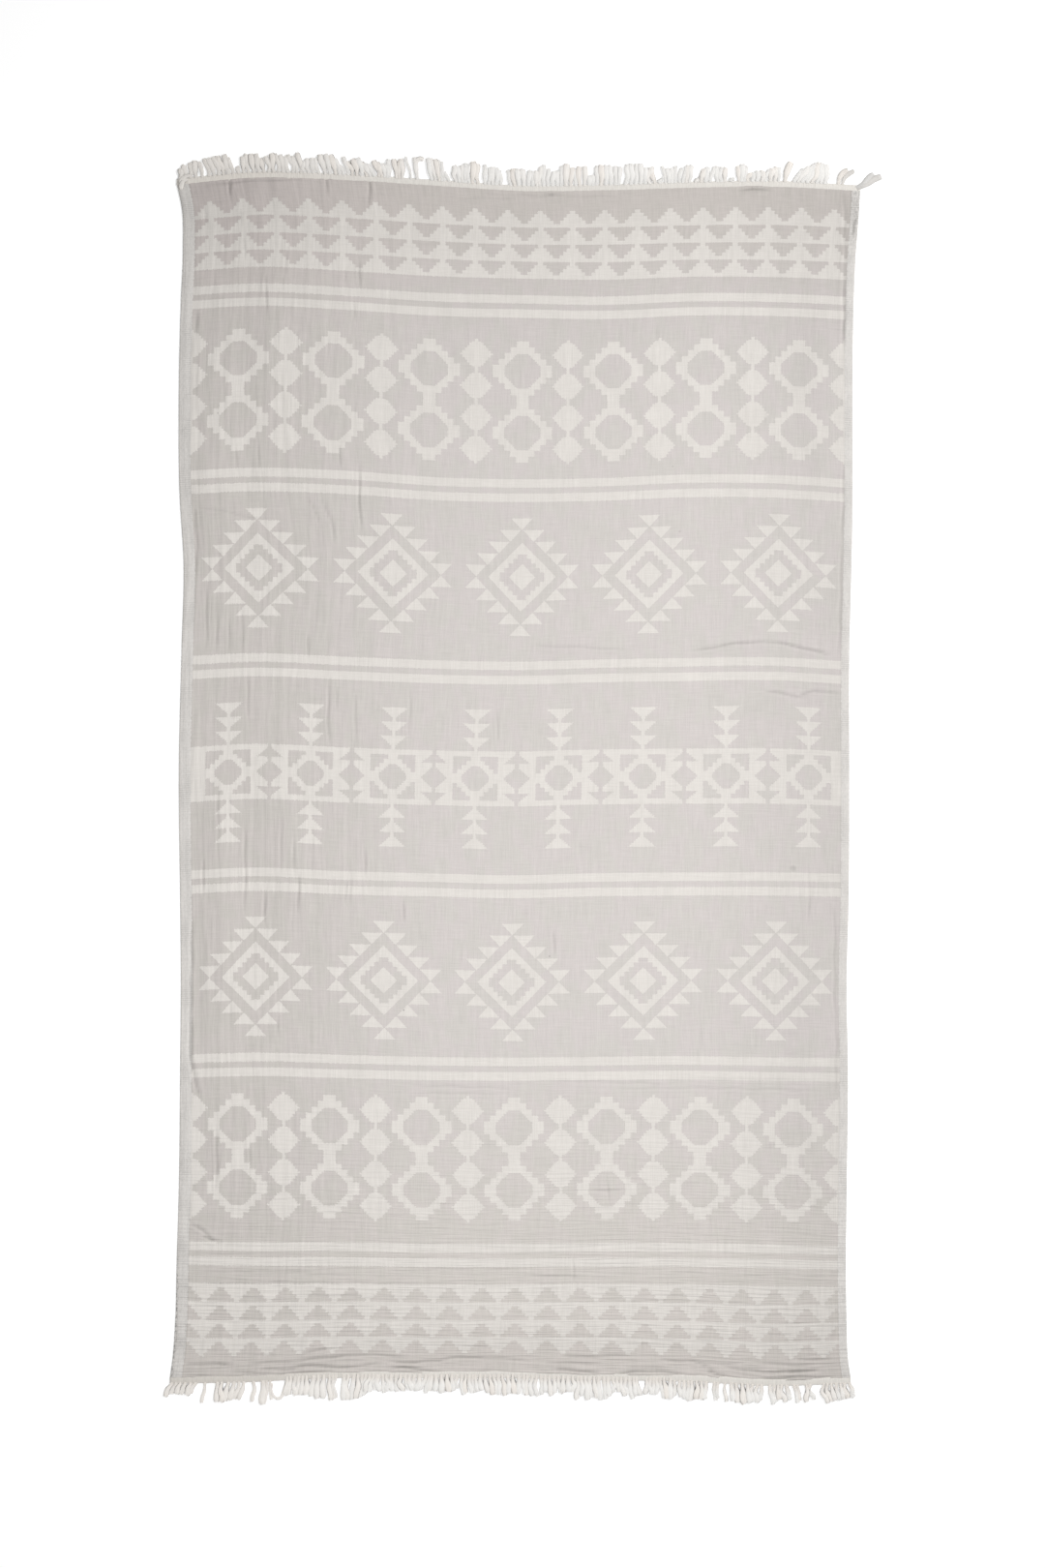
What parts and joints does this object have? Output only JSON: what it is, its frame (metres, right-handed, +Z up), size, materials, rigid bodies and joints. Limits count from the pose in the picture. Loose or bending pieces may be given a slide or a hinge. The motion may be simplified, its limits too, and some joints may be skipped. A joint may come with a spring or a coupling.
{
  "type": "hammam towel",
  "caption": "Flat woven cotton hammam towel with a two-tone geometric pattern and a short cut fringe at both ends, laid out flat to dry off or lie on.",
  "frame": {"origin": "middle of the outline, on the surface that the towel lies on", "axes": "+X across the cloth, +Y along it towards the far fringe, +Z up out of its pattern side"},
  "size_m": [1.0388, 1.8138, 0.004],
  "materials": {
    "cloth": "matt two-tone woven cotton, warm light grey with a cream pattern",
    "fringe": "matt cream cotton yarn"
  },
  "bodies": {
    "root": {"cloth": "cloth", "fringe_far": "fringe", "fringe_near": "fringe"}
  },
  "joints": []
}
